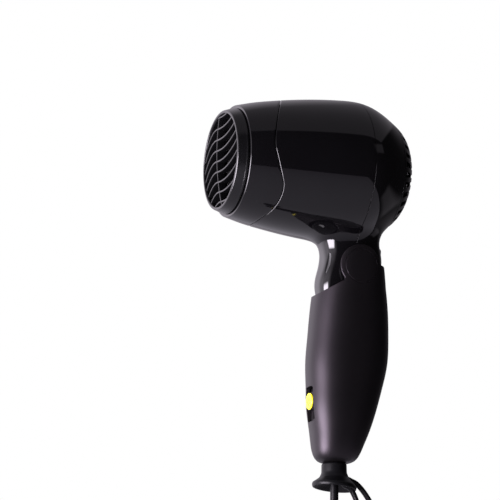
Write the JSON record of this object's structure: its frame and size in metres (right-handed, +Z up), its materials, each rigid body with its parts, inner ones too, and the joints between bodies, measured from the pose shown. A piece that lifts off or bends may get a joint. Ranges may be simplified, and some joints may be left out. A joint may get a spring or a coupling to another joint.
{
  "type": "folding travel hair dryer",
  "caption": "Compact hair dryer: round barrel with a slatted outlet and slotted intake, folding on a slim handle with a sliding switch, hanging loop and coiled lead.",
  "frame": {"origin": "middle of the grip, on the handle's centre line", "axes": "+Z up along the handle, -X the way the air blows, symmetric about Y = 0"},
  "size_m": [0.1083, 0.0796, 0.4196],
  "materials": {
    "gloss_housing": "high gloss black",
    "matte_plastic": "matte black",
    "soft_touch": "soft-touch black coating",
    "yellow": "satin bright yellow",
    "rubber": "matte black",
    "steel": "brushed",
    "mica": "dark brown board",
    "inner_plastic": "matte dark grey",
    "copper": "lacquered windings",
    "heater_wire": "oxidised dark"
  },
  "bodies": {
    "handle": {"hinge_pin": "steel", "hinge_cap_near": "soft_touch", "hinge_cap_far": "soft_touch", "spring_washer_near": "steel", "spring_washer_far": "steel", "handle_shell": "soft_touch", "switch_bezel": "matte_plastic", "switch_body": "inner_plastic", "suppression_capacitor": "copper", "terminal_block": "inner_plastic", "cord_clamp": "matte_plastic", "strain_relief_boot": "rubber", "cord": "rubber", "cord_coil": "rubber", "cord_tie": "matte_plastic", "cord_tail": "rubber", "plug_boot": "rubber", "plug_body": "rubber", "plug_pin_near": "steel", "plug_pin_far": "steel"},
    "barrel": {"nozzle_shell": "gloss_housing", "outlet_grille": "matte_plastic", "main_housing": "gloss_housing", "rear_housing": "gloss_housing", "intake_cap": "gloss_housing", "intake_screen": "matte_plastic", "mica_board_flat": "mica", "mica_board_upright": "mica", "mica_sleeve": "mica", "heater_coil": "heater_wire", "thermostat": "inner_plastic", "thermal_fuse": "steel", "fan_duct": "matte_plastic", "motor_can": "steel", "motor_end_cap": "inner_plastic", "hinge_drum": "matte_plastic", "neck_screw": "steel"},
    "rotor": {"fan": "inner_plastic", "motor_shaft": "steel", "motor_armature": "copper"},
    "switch": {"switch_slider": "matte_plastic", "switch_cap": "yellow", "switch_carriage": "inner_plastic"}
  },
  "joints": [
    {"name": "fold", "type": "hinge", "parent": "handle", "child": "barrel", "pos_m": [0.0045, 0, 0.06], "axis": [0, -1, 0], "range_deg": [0, 60]},
    {"name": "fan_spin", "type": "hinge", "parent": "barrel", "child": "rotor", "pos_m": [0.0045, 0, 0.1161], "axis": [-1, 0, 0], "continuous": true},
    {"name": "switch_slide", "type": "slide", "parent": "handle", "child": "switch", "axis": [0, 0, 1], "range_m": [-0.005, 0.0018]}
  ]
}
